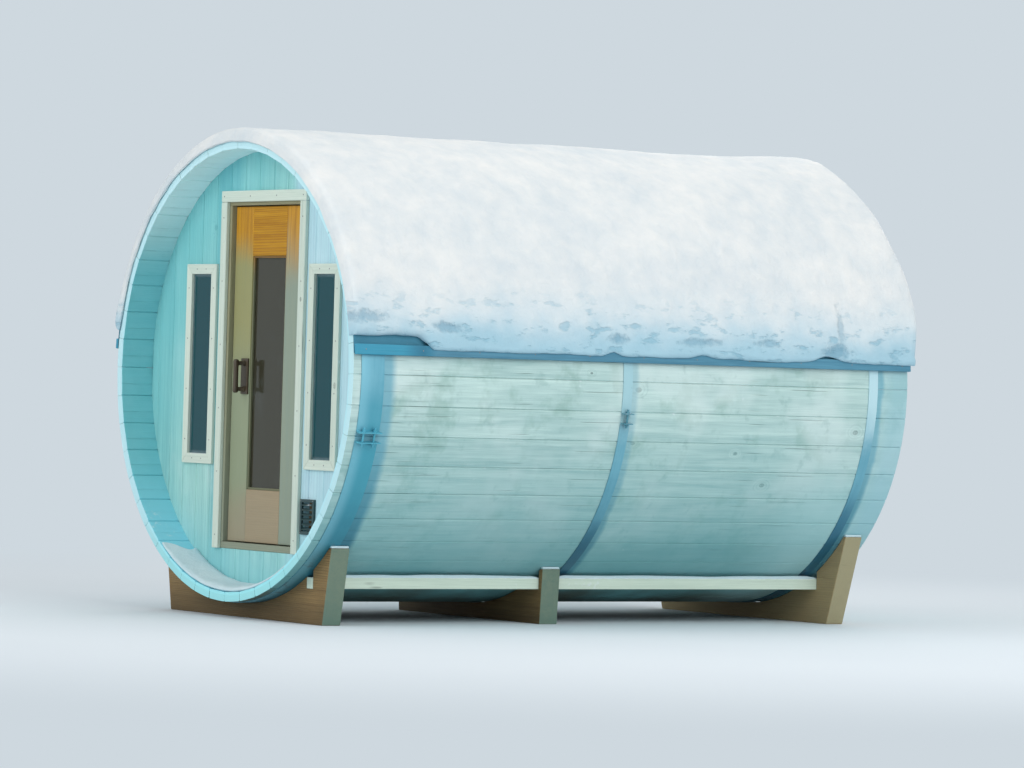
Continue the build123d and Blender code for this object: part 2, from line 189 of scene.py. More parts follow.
class Graph:
    """A tree of shader nodes, written as formulas."""

    def __init__(self, tree):
        self.tree = tree

    def put(self, socket, value):
        if isinstance(value, Number):
            value = value.socket
        if isinstance(value, bpy.types.NodeSocket):
            self.tree.links.new(value, socket)
        else:
            socket.default_value = value

    def node(self, kind, inputs, **settings):
        made = self.tree.nodes.new("ShaderNode" + kind)
        for key, value in settings.items():
            setattr(made, key, value)
        for key, value in inputs.items():
            self.put(made.inputs[key], value)
        return made

    def number(self, made, output=0):
        return Number(self, made.outputs[output])

    def math(self, operation, *values):
        return self.number(self.node("Math", dict(enumerate(values)), operation=operation))

    def length(self, first, second):
        """The longest side of a right triangle."""
        return self.math("SQRT", first * first + second * second)

    def combine(self, x, y, z):
        return self.node("CombineXYZ", {0: x, 1: y, 2: z}).outputs[0]

    def split(self, vector):
        made = self.node("SeparateXYZ", {0: vector})
        return [self.number(made, k) for k in range(3)]

    def noise(self, vector, scale=1.0, detail=2.0, roughness=0.5):
        inputs = {"Vector": vector, "Scale": scale, "Detail": detail, "Roughness": roughness}
        return self.number(self.node("TexNoise", inputs))

    def fade(self, value, start, end):
        """0 before start and 1 after end, smooth between; the other way if end is the lower."""
        inputs = {"Value": value, "From Min": start, "From Max": end}
        return self.number(self.node("MapRange", inputs, interpolation_type="SMOOTHSTEP"))

    def mix(self, share, first, second):
        first, second = (colour(*tint) if isinstance(tint, tuple) else tint for tint in (first, second))
        return self.node("Mix", {0: share, 6: first, 7: second}, data_type="RGBA").outputs[2]

    def seen(self):
        """1 where the backdrop is looked at, straight, in a reflection or through glass."""
        path = self.node("LightPath", {})
        camera, glossy, through = (self.number(path, f"Is {kind} Ray")
                                   for kind in ("Camera", "Glossy", "Transmission"))
        return self.math("MAXIMUM", self.math("MAXIMUM", camera, glossy), through)


class Surface(Graph):
    """A material built up in layers: a base, and then stains, wear, frost and painted shade and light over it.

    spot is a point's place on the object, also given as x, y and z. outdoors is 0 in the cabin."""

    def __init__(self, name):
        self.material = bpy.data.materials.new(name)
        self.material.use_nodes = True
        super().__init__(self.material.node_tree)
        self.shader = self.tree.nodes["Principled BSDF"]
        self.spot = self.node("TexCoord", {}).outputs["Object"]
        self.x, self.y, self.z = self.split(self.spot)
        self.outdoors = 1.0

    def facing(self):
        """The surface's own direction, as three numbers."""
        return self.split(self.node("NewGeometry", {}).outputs["Normal"])

    def radius(self):
        """How far a point is from the barrel's axis."""
        return self.length(self.x, self.z - axis_z)

    def cloud(self, scale, detail=2.0, roughness=0.5):
        return self.noise(self.spot, scale, detail, roughness)

    def layer(self, share, tint, roughness=None, lift=0.0):
        """Lays a colour over what is there, where share is 1."""
        self.colour = self.mix(share, self.colour, tint)
        if roughness is not None:
            self.roughness = self.roughness + share * (roughness - self.roughness)
        if lift:
            self.height = self.height + share * lift

    def outdoor_layer(self, tint, strength, value, start, end, share=1.0, roughness=None):
        """An outdoor layer that comes in as a value goes from start to end, where share is 1; used both for
        stains and for painted shade and light.
        """
        self.layer(self.fade(value, start, end) * strength * share * self.outdoors, tint, roughness)

    def foot_layer(self, tint, top, bottom, strength):
        """A layer that deepens towards the ground; a stain on some woods, painted shade on the staves."""
        wander = (self.cloud(2.1, 3.0) - 0.5) * 0.35
        self.outdoor_layer(tint, strength, self.z + wander, top, bottom)

    def frost(self, amount, by_facing=0.0, extra=0.0):
        """Rime in patches; by_facing adds more on what faces up, and extra adds a number."""
        cloud = self.cloud(3.2, 4.0, 0.6) * 0.55 + self.cloud(38.0, 3.0, 0.6) * 0.45
        level = cloud + self.math("MAXIMUM", self.facing()[2], 0.0) * by_facing + extra
        self.layer(self.fade(level, 1 - amount, 1.18 - amount) * self.outdoors, FROST, 0.85, 0.9)

    def set(self, name, value):
        """Sets a value that is the same all over."""
        self.shader.inputs[name].default_value = value

    def close(self, strength=0.6, distance=0.001):
        """Joins the layers to the shader."""
        bump = self.node("Bump", {"Strength": strength, "Distance": distance, "Height": self.height})
        for name, value in (("Base Color", self.colour), ("Roughness", self.roughness),
                            ("Normal", bump.outputs[0])):
            self.put(self.shader.inputs[name], value)
        return self.material


def timber(name, pale, deep, rings=0.34, streaks=0.9, knots=0.35, boards=0.4, roughness=0.78,
           inside=False):
    """Sawn wood that follows each board's own grain, with year rings, fibres, knots and checks."""
    s = Surface(name)
    along, across, depth = s.split(s.node("Attribute", {}, attribute_name="grain").outputs["Vector"])
    tone = s.number(s.node("Attribute", {}, attribute_name="tone"), "Fac")
    chance = s.node("TexWhiteNoise", {"W": tone * 431.7}, noise_dimensions="1D")
    first, second, third = s.split(chance.outputs["Color"])

    cells_along, cells_across = 1.7, 6.5
    knot_place = s.combine(along * cells_along + first * 31, across * cells_across + second * 17, 0)
    cells = s.node("TexVoronoi", {"Vector": knot_place, "Scale": 1.0}, voronoi_dimensions="2D")
    knot_x, knot_y, unused = s.split(cells.outputs["Position"])
    place_x, place_y, unused = s.split(knot_place)
    knot_distance = s.length((knot_x - place_x) / cells_along * 0.7, (knot_y - place_y) / cells_across)
    draw, size_draw, unused = s.split(cells.outputs["Color"])
    knot_there = s.math("GREATER_THAN", draw, 1 - knots)
    knot_size = 0.005 + size_draw * 0.009
    knot = s.fade(knot_distance, knot_size, knot_size * 0.75) * knot_there
    knot_rim = s.fade(knot_distance, knot_size * 3.5, knot_size) * knot_there

    def drawn_out(length, width, shift, detail=2.0):
        """Noise stretched along the grain, from -0.5 to 0.5."""
        return s.noise(s.combine(along * length + shift, across * width, depth * width), 1.0, detail) - 0.5

    wobble = drawn_out(0.9, 7, first * 9, 3.0)
    streak = drawn_out(0.8, 30, second * 5, 3.0)
    fibre = drawn_out(9, 420, 0)
    weather = drawn_out(2.4, 95, third * 7)
    check = s.fade(s.noise(s.combine(along * 2.2, across * 130, depth * 12)), 0.69, 0.75)
    heart_across = across - (first - 0.5) * 0.11 + along * (second - 0.5) * 0.03
    heart_depth = depth - (depth - 0.025 - third * 0.08) * 2
    reach = s.length(heart_across, heart_depth)
    ring = s.math("SINE", (reach + wobble * 0.022 + knot_rim * 0.011) * 1150)
    late = (ring * 0.5 + 0.5) ** 2.2

    shade = late * rings + streak * streaks + fibre * 0.7 + weather * 0.75 + (third - 0.5) * boards + 0.30
    s.colour = s.mix(shade, pale, deep)
    if inside:
        skin = stave_thickness * 0.3
        under_shell = s.math("LESS_THAN", s.radius(), inner_apothem + skin)
        behind_front = s.math("GREATER_THAN", s.y, front_wall[1] - skin)
        before_rear = s.math("LESS_THAN", s.y, rear_wall[0] + skin)
        indoors = under_shell * behind_front * before_rear
        s.layer(indoors, s.mix(shade, INSIDE_PALE, INSIDE_DEEP))
        s.outdoors = 1 - indoors
    s.layer(knot * 0.75, s.mix(0.55, deep, (46, 34, 26)))
    s.layer(check * 0.6, s.mix(0.7, deep, (30, 28, 26)))
    s.roughness = roughness + fibre * 0.25 - late * 0.06
    s.height = fibre * 0.9 + weather * 0.5 - late * 0.35 - check * 1.5 - knot * 0.3 + streak * 0.3
    return s


def plain_timber(name, pale, deep, stains=(), frost=(), bump=0.6, specular=0.5, **grain):
    """Wood with foot stains and frost alone, each given as what its own function takes."""
    s = timber(name, pale, deep, **grain)
    for outdoor_layer in stains:
        s.foot_layer(*outdoor_layer)
    if frost:
        s.frost(*frost)
    s.set("Specular IOR Level", specular)
    return s.close(bump)


def leaf_timber(part, pale, deep, *stains):
    """Oiled pine, bright under the shelter of the head and greyed towards the foot."""
    return plain_timber(f"leaf_timber_{part}", pale, deep, stains, bump=0.45, specular=0.3,
                        rings=0.42, streaks=0.8, knots=0.25, roughness=0.55)


def stave_timber():
    s = timber("stave_timber", (200, 226, 221), (140, 177, 176), rings=0.26, streaks=0.8, knots=0.18,
               boards=0.10, inside=True)
    s.outdoor_layer((134, 172, 162), 0.50, s.cloud(4.6, 4.0, 0.65), 0.50, 0.66)
    s.outdoor_layer((214, 231, 229), 0.50, s.cloud(2.2, 3.0, 0.6) + s.y * 0.03, 0.44, 0.64)
    s.outdoor_layer((122, 162, 160), 0.30, s.cloud(12.0, 3.0, 0.6), 0.58, 0.72)
    # Darker and bluer towards the ground over the lower half: painted shade under the round of the barrel; the
    # brown layer darkens the lowest staves.
    s.foot_layer((114, 176, 180), 1.05, 0.10, 0.85)
    s.foot_layer((74, 148, 156), 0.42, 0.05, 0.70)
    s.foot_layer((80, 74, 54), 0.20, 0.07, 0.78)
    s.outdoor_layer((170, 212, 214), 0.52, s.z, 0.78, 0.50, s.fade(s.y, 0.80, 1.15))
    s.outdoor_layer((148, 196, 208), 0.6, s.y, rear_rim - 0.22, rear_rim - 0.06)

    # Painted shade on the inside of the overhangs: teal over most of it, paler towards its top, and pale cyan
    # painted bounce light from the snow low down.
    overhang_inside = s.math("LESS_THAN", s.radius(), inner_apothem + stave_thickness * 0.3)
    s.outdoor_layer((108, 198, 208), 0.85, s.z, 2.0, 1.5, overhang_inside)
    s.outdoor_layer((220, 248, 250), 0.92, s.z, 1.50, 1.90, overhang_inside)
    s.outdoor_layer((142, 220, 238), 0.8, s.z, 0.8, 0.3, overhang_inside)
    wander = s.y + (s.cloud(7.0, 3.0) - 0.5) * 0.03
    for band, reach, strength in band_strips:
        front, back = (corner.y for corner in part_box(band))
        band_strip = s.fade(wander, back + reach, back + reach * 0.4) * s.fade(s.y, front - 0.005, front + 0.005)
        band_strip = band_strip * strength * s.outdoors * (1 - overhang_inside)
        s.layer(band_strip, (98, 166, 186))
        # Painted shade: each strip darkens towards the ground, under the band.
        s.outdoor_layer((36, 118, 138), 0.8, s.z, 0.90, 0.40, band_strip)
        s.outdoor_layer((28, 84, 104), 0.6, s.z, 0.50, 0.30, band_strip)
    end_face = s.fade(s.math("ABSOLUTE", s.facing()[1]), 0.6, 0.9)
    s.outdoor_layer((192, 234, 243), 0.85, s.z, 0.10, 0.45, end_face)
    s.outdoor_layer((168, 242, 248), 0.85, s.z, 0.50, 0.10, end_face)
    s.frost(0.36, 0.10)
    return s.close(0.8, 0.0014)


def wall_timber():
    s = timber("wall_timber", (176, 222, 214), (116, 169, 168), knots=0.22, inside=True)
    s.outdoor_layer((206, 232, 230), 0.30, s.cloud(3.6, 4.0, 0.6), 0.50, 0.74)
    # Painted shade: greener teal towards the upper left, where the overhang shades the recessed wall.
    s.outdoor_layer((92, 190, 198), 0.65, s.z * 0.8 - s.x + s.cloud(2.4, 3.0) * 0.5, 1.0, 2.3)
    at_front = s.fade(s.y, 1.0, 0.0)
    # Painted shade on the strip between the left window and the door.
    s.outdoor_layer((88, 174, 188), 0.34, s.x, -0.45, -0.38, s.fade(s.x, -0.20, -0.25) * at_front)
    # Painted light: paler and bluer on the right part of the front wall, which is open to the light.
    s.outdoor_layer((202, 226, 250), 0.45, s.x, 0.20, 0.30, at_front)
    s.foot_layer((136, 206, 212), 0.62, 0.15, 0.75)
    s.frost(0.34, 0.1)
    return s.close(0.8, 0.0014)


def batten_timber():
    """The roof's edge boards: stained, and bluer where they are bare by the front rim."""
    s = timber("roof_batten", (92, 154, 178), (50, 110, 136), rings=0.3, streaks=0.7, knots=0.1,
               roughness=0.6)
    from_rim = s.y - front_rim
    s.outdoor_layer((36, 148, 178), 0.75, from_rim, 0.42, 0.34)
    # Painted shadow under the step where the snow begins again.
    s.outdoor_layer((22, 84, 112), 0.6, from_rim, 0.22, 0.34, s.fade(from_rim, 0.42, 0.34))
    return s.close()


def cradle_timber():
    s = timber("cradle_timber", (146, 120, 76), (86, 65, 38), rings=0.5, streaks=1.1)
    s.foot_layer((70, 58, 34), 0.22, -0.02, 0.7)
    end_face = s.fade(s.math("ABSOLUTE", s.facing()[0]), 0.7, 0.95)
    s.layer(end_face * 0.62, (100, 144, 134))
    s.outdoor_layer((190, 170, 128), 0.58, s.y, 1.2, 1.35)
    s.frost(0.22, 0.35, end_face * 0.12)
    return s.close(0.8, 0.0015)


def roof_felt():
    s = Surface("roof_felt")
    grit = s.cloud(420.0, 2.0, 0.7)
    s.colour = s.mix(grit * 0.8 + s.cloud(5.0, 4.0, 0.6) * 0.5 - 0.3, (46, 112, 136), (92, 156, 178))
    s.roughness = 0.86 + (grit - 0.5) * 0.2
    s.height = grit
    s.frost(0.34, 0.1)
    return s.close(0.7, 0.0012)


def snow():
    """Crusted snow: white above; thinner and pitted towards the eaves, and bluer there with painted shade."""
    s = Surface("snow")
    drift = s.cloud(3.0, 4.0, 0.55)
    lump = s.cloud(9.0, 3.0)
    clump = s.cloud(26.0, 4.0, 0.6)
    grain = s.cloud(300.0, 2.0, 0.6)
    s.colour = s.mix(drift * 0.9 + lump * 0.9 + clump * 0.4 - 0.60, (200, 211, 217), (234, 234, 231))
    s.roughness = 0.62 + (grain - 0.5) * 0.3
    above_eaves = s.z - snow_low.z
    # Painted shade: bluer snow below the roof's eaves, in the recess and on the base.
    s.outdoor_layer((182, 220, 230), 0.55, above_eaves, -0.05, -0.20)
    on_roof = s.fade(above_eaves, -0.20, -0.05)
    wander = above_eaves + (drift - 0.5) * 0.14 + (lump - 0.5) * 0.08
    # Painted shade: bluer towards the eaves, where the snow turns down the flanks.
    s.outdoor_layer((188, 213, 224), 0.62, wander, 0.34, 0.06, on_roof)
    s.outdoor_layer((152, 195, 212), 0.80, wander, 0.19, 0.02, on_roof)
    slump = s.noise(s.combine(s.x * 3, s.y * 9, s.z * 20), 1.0, 3.0, 0.6)
    pits = s.fade(slump, 0.55, 0.66) * s.fade(wander, 0.34, 0.06) * on_roof
    s.layer(pits * 0.62, (134, 180, 199))
    ragged = (clump - 0.5) * 2.2 + (slump - 0.5) * 1.6
    right_side = s.fade(s.x, 0.2, 0.6)
    scars = 0.0
    for from_rim, height, half_length, half_height, strength in snow_scars:
        away = s.length((s.y - front_rim - from_rim) / half_length, (above_eaves - height) / half_height)
        scar = s.fade(away + ragged, 1.4, 0.3) * right_side
        scars = s.math("MAXIMUM", scars, scar)
        s.layer(scar * strength, (112, 158, 180))
    s.height = lump * 3.0 + clump * 1.5 + grain * 0.4 + drift * 1.5 - pits * 1.6 - scars * 2.2
    s.set("Specular IOR Level", 0.25)
    return s.close(0.55, 0.006)


def hoop_steel():
    """Dull banding steel: rime on its upper half, bare below, with painted shade that darkens it where it
    curves under.
    """
    s = Surface("hoop_steel")
    cloud = s.cloud(7.0, 4.0, 0.6)
    rub = s.noise(s.combine(s.x * 4, s.y * 90, s.z * 4))
    s.colour = s.mix(cloud * 0.7 + rub * 0.5 - 0.1, (88, 154, 176), (126, 188, 204))
    s.roughness = 0.44 + (cloud - 0.5) * 0.4
    s.height = cloud * 0.4 + rub * 0.3
    front_band = s.fade(s.y, -1.2, -1.3)
    rear_band = s.fade(s.y, 1.1, 1.2)
    others = 1 - front_band
    rime = s.mix(rear_band, (184, 216, 220), (198, 228, 234))
    s.outdoor_layer(rime, 0.7 + rear_band * 0.2, s.z + (cloud - 0.5) * 0.2, 0.74, 1.04, others, 0.7)
    wander = s.z + (cloud - 0.5) * 0.3
    # Painted shade: the bands darken towards the ground, most at the feet of the middle and rear ones.
    s.outdoor_layer((68, 160, 180), 0.9, wander, 1.20, 0.72, front_band, 0.4)
    s.outdoor_layer((40, 112, 134), 0.75, wander, 0.75, 0.15, 1.0, 0.4)
    s.outdoor_layer((24, 82, 108), 0.6, s.z, 0.55, 0.32, others, 0.4)
    s.outdoor_layer((142, 204, 220), 0.50, s.y, front_rim + 0.105, front_rim + 0.05, front_band, 0.6)
    # Painted shade on the rear band's lower part.
    s.outdoor_layer((32, 104, 132), 0.72, s.z, 0.68, 0.46, rear_band, 0.4)
    fitting = s.mix(front_band, (60, 130, 148), (88, 176, 196))
    s.outdoor_layer(fitting, 0.8, s.radius() - hoop_radius, 0.003, 0.006, 1.0, 0.5)
    rust = s.cloud(16.0, 4.0, 0.7) + s.fade(s.z, 0.5, 0.1) * 0.1
    s.outdoor_layer((104, 84, 70), 0.4, rust, 0.64, 0.74, 1.0, 0.8)
    s.frost(0.28, 0.2, s.fade(s.z, 0.65, 1.15) * 0.12)
    s.set("Metallic", 0.35)
    return s.close(0.5, 0.0008)


def bright_steel():
    s = Surface("hinge_steel")
    brushed = s.noise(s.combine(s.x * 60, s.y * 60, s.z * 900))
    s.colour = s.mix(s.cloud(30.0, 3.0), (120, 122, 122), (158, 160, 160))
    s.roughness = 0.32 + brushed * 0.2
    s.height = brushed
    s.set("Metallic", 1.0)
    return s.close(0.3, 0.0003)


def tinted_glass(name, tint, haze, gloss, pane, pair=False):
    """Tinted glass with a breath of rime that thickens towards its edges.

    pane is x0, x1, z0 and z1, of the right one if the panes are a pair."""
    s = Surface(name)
    cloud = s.cloud(6.0, 4.0, 0.6) * 0.6 + s.cloud(60.0, 3.0, 0.6) * 0.4
    share = s.fade(cloud, 0.5, 0.85)
    x0, x1, z0, z1 = pane
    across = s.math("ABSOLUTE", s.x) if pair else s.x
    side_gap = (x1 - x0) / 2 - s.math("ABSOLUTE", across - (x0 + x1) / 2)
    end_gap = (z1 - z0) / 2 - s.math("ABSOLUTE", s.z - (z0 + z1) / 2)
    edge = s.fade(s.math("MINIMUM", side_gap, end_gap) - cloud * 0.012, 0.012, -0.006)
    s.colour = s.mix(share * haze, tint, (150, 168, 172))
    s.layer(edge * 0.5, (178, 204, 210))
    s.roughness = 0.06 + share * 0.3
    s.height = cloud
    s.set("Transmission Weight", 0.55)
    s.set("IOR", 1.45)
    s.set("Specular IOR Level", gloss)
    return s.close(0.08, 0.0005)


def dark_plastic():
    s = Surface("vent_plastic")
    cloud = s.cloud(18.0, 3.0)
    s.colour = s.mix(cloud, (26, 52, 54), (48, 76, 78))
    s.roughness = 0.5 + (cloud - 0.5) * 0.3
    s.height = s.cloud(500.0)
    s.frost(0.25, 0.3)
    return s.close(0.2, 0.0004)


def loft(rings):
    """A closed solid through rings of points that all have the same count."""
    solid = bmesh.new()
    rows = [[solid.verts.new(point) for point in ring] for ring in rings]
    for row, after in zip(rows, rows[1:]):
        for k in range(len(row)):
            n = (k + 1) % len(row)
            solid.faces.new((row[k], row[n], after[n], after[k]))
    solid.faces.new(list(reversed(rows[0])))
    solid.faces.new(rows[-1])
    bmesh.ops.recalc_face_normals(solid, faces=solid.faces)
    return solid


def ease(solid, width=edge_ease, sharper_than=50.0):
    """Rounds the edges where faces meet at a sharp angle."""
    limit = math.radians(sharper_than)
    edges = [e for e in solid.edges if e.is_manifold and e.calc_face_angle(0) > limit]
    bmesh.ops.bevel(solid, geom=edges, offset=width, segments=2, profile=0.5, affect="EDGES",
                    clamp_overlap=True)
    return solid


def slab(outline, y0, y1, width=edge_ease):
    """A board with an outline in x and z, from y0 to y1."""
    return ease(loft([[(x, y, z) for x, z in outline] for y in (y0, y1)]), width)


def bar(low, high, width=edge_ease):
    """A squared timber between two corners."""
    x0, y0, z0 = low
    x1, y1, z1 = high
    return slab([(x0, z0), (x1, z0), (x1, z1), (x0, z1)], y0, y1, width)


def side_bar(side, inner, outer, y0, y1, z0, z1, width=edge_ease):
    """A squared timber on one side of the axis, between two distances from it."""
    x0, x1 = sorted((side * inner, side * outer))
    return bar((x0, y0, z0), (x1, y1, z1), width)


def turned(profile, start, direction, sides=24):
    """A round form about a line; profile gives distances along it and radii."""
    turn = direction.to_track_quat("Z", "Y").to_matrix()
    angles = [2 * math.pi * k / sides for k in range(sides)]
    rings = []
    for along, radius in profile:
        ring = [Vector((radius * math.cos(angle), radius * math.sin(angle), along)) for angle in angles]
        rings.append([start + turn @ point for point in ring])
    return loft(rings)


class Piece:
    """A visible piece, gathered from solids that each keep their own grain."""

    def __init__(self, name):
        self.name = name
        self.form = bmesh.new()
        self.form.verts.layers.float_vector.new("grain")
        self.form.verts.layers.float.new("tone")
        self.random = random.Random(f"{name}0")

    def add(self, solid, grain=upright):
        """Adds a solid with the direction of its grain and the one across it."""
        along, across = (Vector(direction) for direction in grain)
        depth = along.cross(across)
        grain_layer = solid.verts.layers.float_vector.new("grain")
        tone_layer = solid.verts.layers.float.new("tone")
        tone = self.random.random()
        for vertex in solid.verts:
            spot = vertex.co - Vector((0, 0, axis_z))
            vertex[grain_layer] = (spot.dot(along), spot.dot(across), spot.dot(depth))
            vertex[tone_layer] = tone
        mesh = bpy.data.meshes.new("solid")
        solid.to_mesh(mesh)
        solid.free()
        self.form.from_mesh(mesh)
        bpy.data.meshes.remove(mesh)

    def close(self, slot, *nodes, body="root", smooth=False):
        """Makes the object, which rides on its body and stands for its nodes.

        It gets the finish that is listed under its own name, or else its slot's."""
        mesh = bpy.data.meshes.new(self.name)
        self.form.to_mesh(mesh)
        self.form.free()
        if smooth:
            mesh.shade_smooth()
            mesh.set_sharp_from_angle(angle=math.radians(40))
        mesh.materials.append(finishes[self.name if self.name in finishes else slot])
        piece = bpy.data.objects.new(self.name, mesh)
        bpy.context.scene.collection.objects.link(piece)
        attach(piece, body)
        if nodes:
            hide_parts(*nodes)


def around(radius, degrees, y):
    """A point at a radius and an angle about the barrel's axis."""
    turn = math.radians(degrees)
    return Vector((radius * math.cos(turn), y, axis_z + radius * math.sin(turn)))


def stave(angle, y0, y1):
    """One flat stave with a slightly crowned face and eased joints."""
    turn = math.radians(angle)
    radial = Vector((math.cos(turn), 0, math.sin(turn)))
    tangent = Vector((-math.sin(turn), 0, math.cos(turn)))

    def side(radius):
        return radius * math.tan(half_stave) - joint_gap / 2

    half_face = side(outer_apothem) - joint_vee
    turns = (inner_apothem + joint_vee, outer_apothem - joint_vee)
    right = [(side(inner_apothem) - joint_vee, inner_apothem), *[(side(r), r) for r in turns]]
    face = [half_face * k / 3 for k in range(3, -4, -1)]
    crown = [(t, outer_apothem + stave_crown * (1 - (t / half_face) ** 2)) for t in face]
    left = [(-t, r) for t, r in reversed(right)]
    section = [radial * r + tangent * t for t, r in right + crown + left]
    rings = [[Vector((0, y, axis_z)) + point for point in section] for y in (y0, y1)]
    return ease(loft(rings), fine_ease, 60), tangent


def build_staves():
    """The round wall, one piece for each segment of the frame."""
    for segment in range(segment_count):
        piece = Piece(f"staves_{segment + 1:02d}")
        for k in range(segment * staves_per_segment, (segment + 1) * staves_per_segment):
            angle = first_joint_angle + (k + 0.5) * stave_angle
            play = [piece.random.uniform(-stave_end_play, stave_end_play) for end in range(2)]
            solid, tangent = stave(angle, front_rim + abs(play[0]), rear_rim - abs(play[1]))
            piece.add(solid, ((0, 1, 0), tangent))
        piece.close("stave_timber", f"stave_wall_{segment + 1:02d}")


def wall_board(x0, x1, y0, y1, radius):
    """An upright board with eased joints, whose ends follow the round of the staves."""
    steps = 5
    inner = [x0 + joint_vee + (x1 - x0 - 2 * joint_vee) * k / steps for k in range(steps + 1)]
    columns = []
    for x in [x0, *inner, x1]:
        dip = joint_vee if x in (x0, x1) else 0
        reach = math.sqrt(radius ** 2 - x ** 2)
        corners = [(y0 + dip, -reach), (y0 + dip, reach), (y1 - dip, reach), (y1 - dip, -reach)]
        columns.append([(x, y, axis_z + up) for y, up in corners])
    return loft(columns)


def punch(solid, x0, x1, z0, z1, middle):
    """Cuts a square hole along Y, whose own sides join the two faces either side of middle."""
    xs = [v.co.x for v in solid.verts]
    if max(xs) <= x0 or min(xs) >= x1:
        return
    for place, normal in (((x0, 0, 0), (1, 0, 0)), ((x1, 0, 0), (1, 0, 0)),
                          ((0, 0, z0), (0, 0, 1)), ((0, 0, z1), (0, 0, 1))):
        everything = solid.verts[:] + solid.edges[:] + solid.faces[:]
        bmesh.ops.bisect_plane(solid, geom=everything, plane_co=place, plane_no=normal)
    centres = [(face, face.calc_center_median()) for face in solid.faces]
    inside = [face for face, centre in centres if x0 < centre.x < x1 and z0 < centre.z < z1]
    bmesh.ops.delete(solid, geom=inside, context="FACES")

    def key(vertex):
        return (round(vertex.co.x, 5), round(vertex.co.z, 5))

    far = {key(v): v for v in solid.verts if v.co.y > middle}
    near_edges = [e for e in solid.edges if e.is_boundary and all(v.co.y < middle for v in e.verts)]
    for edge in near_edges:
        a, b = edge.verts
        solid.faces.new((a, b, far[key(b)], far[key(a)]))
    bmesh.ops.recalc_face_normals(solid, faces=solid.faces)


def wall_joints(radius):
    """Where the joints of a wall's boards are, with a board centred on the axis."""
    count = math.ceil((radius / wall_board_width) - 0.5)
    inner = [(k - 0.5) * wall_board_width for k in range(-count + 1, count + 1)]
    end = radius - wall_end_gap
    return [-end, *[x for x in inner if abs(x) < end - narrowest_board], end]


def build_wall(name, ys, holes, *nodes):
    """A round wall of upright boards with holes, each given as x0, x1, z0 and z1."""
    y0, y1 = ys
    radius = inner_apothem + wall_seat
    piece = Piece(name)
    joints = wall_joints(radius)
    for x0, x1 in zip(joints, joints[1:]):
        solid = wall_board(x0 + joint_gap / 2, x1 - joint_gap / 2, y0, y1, radius)
        for hole in holes:
            punch(solid, *hole, (y0 + y1) / 2)
        piece.add(solid)
    piece.close("wall_timber", *nodes)


def window_rectangle(side):
    """The opening of a window as x0, x1, z0 and z1."""
    half = window_width / 2
    up = window_height / 2
    x = side * window_centre_x
    return (x - half, x + half, window_centre_z - up, window_centre_z + up)


def front_holes():
    """The windows with their linings, the doorway and the vent, as x0, x1, z0 and z1."""
    half = window_width / 2 + window_lining
    holes = [(side * window_centre_x - half, side * window_centre_x + half, glass_low.z, glass_high.z)
             for side in (-1, 1)]
    return holes + [(-doorway_half, doorway_half, doorway_bottom, doorway_top), vent_rectangle]


def mitred_frame(piece, inner, width, y0, y1):
    """Four mitred boards round a rectangle in x and z."""
    x0, x1, z0, z1 = inner
    near = [(x0, z0), (x1, z0), (x1, z1), (x0, z1)]
    away = [(x0 - width, z0 - width), (x1 + width, z0 - width),
            (x1 + width, z1 + width), (x0 - width, z1 + width)]
    for k in range(4):
        n = (k + 1) % 4
        gap = joint_gap / 2 if k < 2 else -joint_gap / 2
        shift = Vector((gap, 0)) if k % 2 == 0 else Vector((0, gap))
        outline = [Vector(near[k]) + shift, Vector(near[n]) - shift,
                   Vector(away[n]) - shift, Vector(away[k]) + shift]
        piece.add(slab(outline, y0, y1, fine_ease), level if k % 2 == 0 else upright)


def build_windows():
    """Boards round each window outside, and linings in the wall behind the panes."""
    boards = Piece("window_trim_boards")
    linings = Piece("window_linings")
    for side in (-1, 1):
        mitred_frame(boards, window_rectangle(side), trim_width, trim_low.y, trim_high.y)
        mitred_frame(linings, window_rectangle(side), window_lining - joint_gap,
                     glass_high.y + joint_gap, front_wall[1] + 0.004)
    boards.close("trim_timber", "window_trims")
    linings.close("floor_timber")


def build_vent():
    """A bordered grille whose slats lean out and down."""
    piece = Piece("vent_louvre")
    mitred_frame(piece, vent_rectangle, vent_border, vent_low.y, vent_high.y)
    x0, x1, z0, z1 = vent_rectangle
    pitch = (z1 - z0) / vent_slats
    depth = (vent_high.y - vent_low.y) * 1.15
    lean = Matrix.Rotation(math.radians(vent_slat_tilt), 3, "X")
    size = Vector(((x1 - x0) / 2 + 0.001, depth / 2, vent_slat_thickness / 2))
    for k in range(vent_slats):
        centre = Vector(((x0 + x1) / 2, (vent_low.y + vent_high.y) / 2 + 0.001, z0 + (k + 0.5) * pitch))
        solid = bar(-size, size, 0.001)
        for vertex in solid.verts:
            vertex.co = centre + lean @ vertex.co
        piece.add(solid, level)
    piece.close("vent_plastic", "vent_grille")


